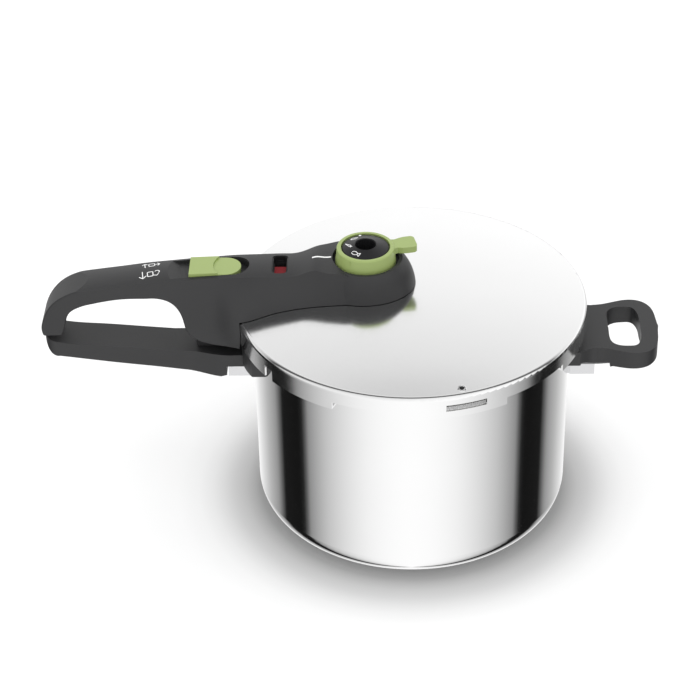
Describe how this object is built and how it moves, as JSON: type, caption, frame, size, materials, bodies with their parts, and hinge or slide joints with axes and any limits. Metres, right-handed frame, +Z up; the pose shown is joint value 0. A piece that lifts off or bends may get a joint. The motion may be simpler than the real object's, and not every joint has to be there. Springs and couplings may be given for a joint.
{
  "type": "stovetop pressure cooker",
  "caption": "Steel pressure cooker with a bayonet lid, stacked long handles, a loop handle, a sliding lock, a steam selector dial and a pressure indicator.",
  "frame": {"origin": "centre of the flat underside of the pot's base", "axes": "+Z up through the middle of the pot; the long handles point towards -X and the loop handle towards +X"},
  "size_m": [0.4318, 0.2442, 0.2072],
  "materials": {
    "polished_steel": "mirror-polished stainless steel",
    "satin_steel": "satin stainless steel",
    "aluminium_core": "plain",
    "dark_plastic": "fine-textured bakelite",
    "black_plastic": "smooth",
    "green_plastic": "satin moulded, olive green",
    "red_plastic": "smooth",
    "white_print": "printed",
    "silicone": "matt silicone",
    "brass_fitting": "turned"
  },
  "bodies": {
    "pot": {"pot_shell": "polished_steel", "base_cap": "polished_steel", "base_core": "aluminium_core", "lock_keeper": "satin_steel", "long_handle_bracket": "satin_steel", "helper_bracket": "satin_steel", "pot_handle": "dark_plastic", "helper_handle": "dark_plastic", "handle_screws": "satin_steel"},
    "seal": {"gasket": "silicone"},
    "lid": {"lid_shell": "polished_steel", "lid_handle": "dark_plastic", "indicator_bezel": "black_plastic", "pointer_mark": "white_print", "root_cover": "dark_plastic", "lid_handle_bracket": "satin_steel", "lid_handle_screw": "satin_steel", "handle_insert": "brass_fitting", "steam_nozzle": "satin_steel", "nozzle_washer": "silicone", "nozzle_nut": "satin_steel", "indicator_guide": "satin_steel", "safety_valve_body": "satin_steel", "safety_valve_cap": "satin_steel", "safety_valve_nut": "satin_steel"},
    "lock": {"lock_slider": "green_plastic", "lock_bolt": "satin_steel"},
    "selector": {"selector_ring": "green_plastic", "selector_cap": "black_plastic", "selector_clip": "satin_steel"},
    "indicator": {"indicator_piston": "red_plastic", "indicator_seal": "silicone"},
    "steam_weight": {"steam_poppet": "satin_steel", "steam_spring": "satin_steel"},
    "safety_weight": {"safety_poppet": "brass_fitting", "safety_spring": "satin_steel"}
  },
  "joints": [
    {"name": "lid_lift", "type": "slide", "parent": "pot", "child": "seal", "axis": [0, 0, 1], "range_m": [0, 0.12]},
    {"name": "lid_turn", "type": "hinge", "parent": "seal", "child": "lid", "pos_m": [0, 0, 0.16], "axis": [0, 0, 1], "range_deg": [0, 27]},
    {"name": "lock_slide", "type": "slide", "parent": "lid", "child": "lock", "axis": [1, 0, 0], "range_m": [0, 0.0055]},
    {"name": "selector_turn", "type": "hinge", "parent": "lid", "child": "selector", "pos_m": [-0.0313, 0, 0.2], "axis": [0, 0, 1], "range_deg": [-55, 75]},
    {"name": "indicator_rise", "type": "slide", "parent": "lid", "child": "indicator", "axis": [0, 0, 1], "range_m": [0, 0.0035]},
    {"name": "steam_valve_lift", "type": "slide", "parent": "lid", "child": "steam_weight", "axis": [0, 0, 1], "range_m": [0, 0.0014], "stiffness_N_per_m": 1500, "springref_m": -0.002, "deforming": ["steam_spring"]},
    {"name": "safety_valve_lift", "type": "slide", "parent": "lid", "child": "safety_weight", "axis": [0, 0, 1], "range_m": [0, 0.0015], "stiffness_N_per_m": 3000, "springref_m": -0.002, "deforming": ["safety_spring"]}
  ]
}
